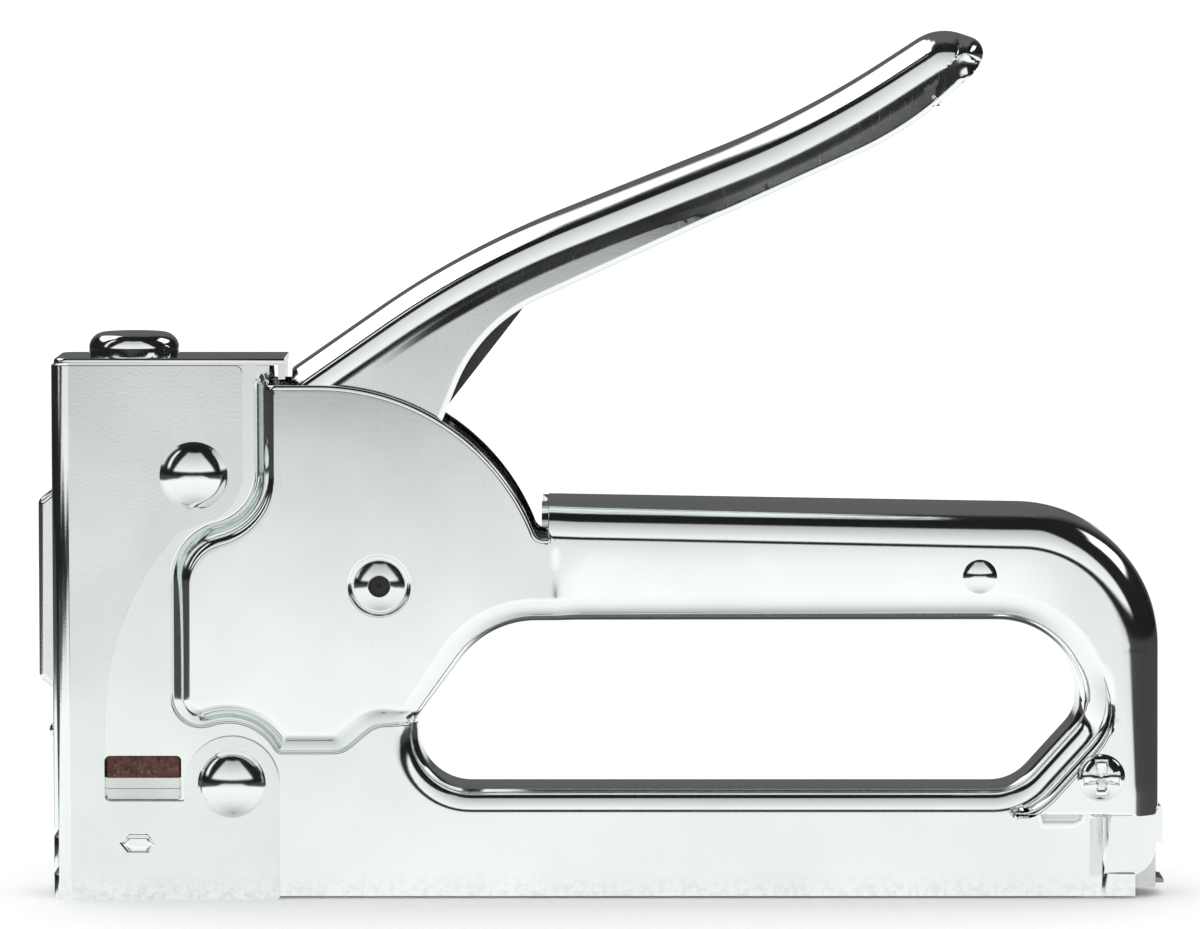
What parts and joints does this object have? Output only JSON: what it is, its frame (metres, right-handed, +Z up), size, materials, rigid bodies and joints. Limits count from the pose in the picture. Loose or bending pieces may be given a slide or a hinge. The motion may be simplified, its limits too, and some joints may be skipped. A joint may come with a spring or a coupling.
{
  "type": "hand staple gun",
  "caption": "Hand staple gun in chromed sheet steel with a squeeze lever, spring-driven hammer and pull-out staple magazine.",
  "frame": {"origin": "on the floor plane, under the middle of the tool's length and width", "axes": "+X from the nose to the rear, +Y to the tool's right side, +Z up"},
  "size_m": [0.1598, 0.0244, 0.1227],
  "materials": {
    "chrome_steel": "bright plated, lightly scratched",
    "rivet_steel": "bright plated",
    "arm_steel": "dark, heat treated",
    "plate_steel": "bright rolled",
    "spring_steel": "drawn wire, oiled",
    "zinc_steel": "zinc plated",
    "fibre": "pressed fibre with dark specks",
    "staple_wire": "galvanised wire, glued in a stick"
  },
  "bodies": {
    "housing": {"left_shell": "chrome_steel", "right_shell": "chrome_steel", "nose_cover": "chrome_steel", "nose_guide_plate": "plate_steel", "nose_rivet": "rivet_steel", "top_cap": "chrome_steel", "upper_rivet": "rivet_steel", "lower_rivet": "rivet_steel", "upper_spacer": "zinc_steel", "lower_spacer": "zinc_steel", "pivot_pin": "rivet_steel", "grip_rivet": "rivet_steel", "grip_spacer": "zinc_steel", "rear_screw": "rivet_steel", "rear_nut": "rivet_steel", "rear_spacer": "zinc_steel", "bumper_pad": "fibre", "bumper_plates": "plate_steel", "track_roof": "plate_steel", "rear_tie": "plate_steel", "staple_strip": "staple_wire", "return_spring": "spring_steel", "main_spring": "spring_steel"},
    "lever": {"lever_shell": "chrome_steel", "lever_arm": "arm_steel", "lever_bush": "zinc_steel"},
    "driver": {"hammer": "arm_steel", "driver_blade": "arm_steel", "driver_rivets": "arm_steel"},
    "magazine": {"magazine_rail": "zinc_steel", "magazine_pull": "chrome_steel", "guide_rod": "zinc_steel", "rod_seat": "zinc_steel", "latch_rivets": "zinc_steel", "pusher_spring": "spring_steel"},
    "follower": {"pusher": "zinc_steel"},
    "latch": {"latch_tongue": "spring_steel"}
  },
  "joints": [
    {"name": "lever_squeeze", "type": "hinge", "parent": "housing", "child": "lever", "pos_m": [-0.03135, 0, 0.0449], "axis": [0, 1, 0], "range_deg": [0, 30], "stiffness_Nm_per_rad": 0.6, "springref_deg": -20.05, "deforming": ["return_spring"]},
    {"name": "driver_lift", "type": "slide", "parent": "housing", "child": "driver", "axis": [0, 0, 1], "range_m": [0, 0.01398], "deforming": ["main_spring"]},
    {"name": "magazine_slide", "type": "slide", "parent": "housing", "child": "magazine", "axis": [1, 0, 0], "range_m": [0, 0.15]},
    {"name": "pusher_slide", "type": "slide", "parent": "magazine", "child": "follower", "axis": [1, 0, 0], "range_m": [0, 0.048], "stiffness_N_per_m": 60, "springref_m": -0.05, "deforming": ["pusher_spring"]},
    {"name": "latch_press", "type": "hinge", "parent": "magazine", "child": "latch", "pos_m": [0.05525, 0, 0.0021], "axis": [0, -1, 0], "range_deg": [0, 3], "stiffness_Nm_per_rad": 0.5, "springref_deg": -1.15}
  ],
  "couplings": [
    {"joint": "driver_lift", "follows": "lever_squeeze", "m_per_rad": 0.02669}
  ]
}
